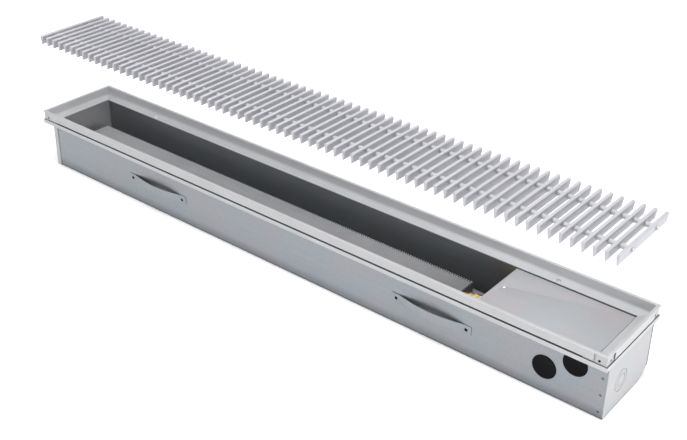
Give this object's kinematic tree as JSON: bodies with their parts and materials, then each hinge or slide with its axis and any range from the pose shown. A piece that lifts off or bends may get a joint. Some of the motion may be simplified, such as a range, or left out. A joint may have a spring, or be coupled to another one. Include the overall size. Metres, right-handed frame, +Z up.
{
  "type": "trench convector heater",
  "caption": "In-floor trench convector: steel trough, aluminium frame, finned coil, valves under a cover plate and a lift-out slatted grille.",
  "frame": {"origin": "middle of the frame's outline in plan, on the surface that the trough stands on", "axes": "+X along the trough towards its valve end, +Y towards the rear wall with the sloped foot, +Z up"},
  "size_m": [1.25, 0.17, 0.2793],
  "materials": {
    "galvanised": "galvanised sheet, satin",
    "plain_steel": "zinc-plated, satin",
    "aluminium": "natural anodised, satin",
    "fin_aluminium": "thin rolled sheet, dull",
    "copper": "drawn copper tube",
    "brass": "machined",
    "black_rubber": "matt",
    "white_plastic": "fine texture"
  },
  "bodies": {
    "trough": {"case_shell": "galvanised", "end_plate_left": "galvanised", "end_plate_right": "galvanised", "anchor_strap_left": "galvanised", "anchor_strap_right": "galvanised", "strap_rivets": "plain_steel", "frame_rail_front": "aluminium", "frame_rail_rear": "aluminium", "frame_rail_left": "aluminium", "frame_rail_right": "aluminium", "corner_bracket_front_left": "aluminium", "corner_bracket_front_right": "aluminium", "corner_bracket_rear_left": "aluminium", "corner_bracket_rear_right": "aluminium", "frame_set_screws": "plain_steel", "frame_screws": "plain_steel", "cover_plate": "galvanised", "cover_bridge": "galvanised", "cover_rest": "galvanised", "cover_insert_nut": "plain_steel", "coil_fins": "fin_aluminium", "coil_tube_supply": "copper", "coil_tube_return": "copper", "coil_return_bend": "copper", "coil_plate_left": "galvanised", "coil_plate_right": "galvanised", "supply_union": "brass", "return_union": "brass", "supply_pipe": "copper", "return_pipe": "copper", "vent_tee": "brass", "supply_valve_body": "brass", "return_valve_body": "brass", "supply_gland_nut": "brass", "return_gland_nut": "brass"},
    "grille": {"grille_slats": "aluminium", "grille_rods": "plain_steel", "grille_spacers": "black_rubber", "grille_rod_nuts": "plain_steel"},
    "cover_screw": {"cover_screw": "plain_steel"},
    "supply_wheel": {"supply_spindle": "plain_steel", "supply_hand_cap": "white_plastic"},
    "return_lockshield": {"return_spindle": "plain_steel"},
    "vent_screw": {"vent_screw": "brass"},
    "plug_low": {"entry_plug_low": "black_rubber"},
    "plug_high": {"entry_plug_high": "black_rubber"}
  },
  "joints": [
    {"name": "grille_lift", "type": "slide", "parent": "trough", "child": "grille", "axis": [0, 0, 1], "range_m": [-0.16, 0]},
    {"name": "cover_screw_turn", "type": "hinge", "parent": "trough", "child": "cover_screw", "pos_m": [0.4041, 0, 0.1], "axis": [0, 0, 1], "range_deg": [0, 360]},
    {"name": "supply_wheel_turn", "type": "hinge", "parent": "trough", "child": "supply_wheel", "pos_m": [0.523, -0.036, 0.07], "axis": [0, 0, 1], "range_deg": [0, 270]},
    {"name": "return_lockshield_turn", "type": "hinge", "parent": "trough", "child": "return_lockshield", "pos_m": [0.59, 0.006, 0.0755], "axis": [1, 0, 0], "range_deg": [0, 360]},
    {"name": "vent_screw_turn", "type": "hinge", "parent": "trough", "child": "vent_screw", "pos_m": [0.4665, 0.006, 0.06], "axis": [0, 0, 1], "range_deg": [0, 360]},
    {"name": "plug_low_pull", "type": "slide", "parent": "trough", "child": "plug_low", "axis": [0, -1, 0], "range_m": [0, 0.03]},
    {"name": "plug_high_pull", "type": "slide", "parent": "trough", "child": "plug_high", "axis": [0, -1, 0], "range_m": [0, 0.009]}
  ]
}
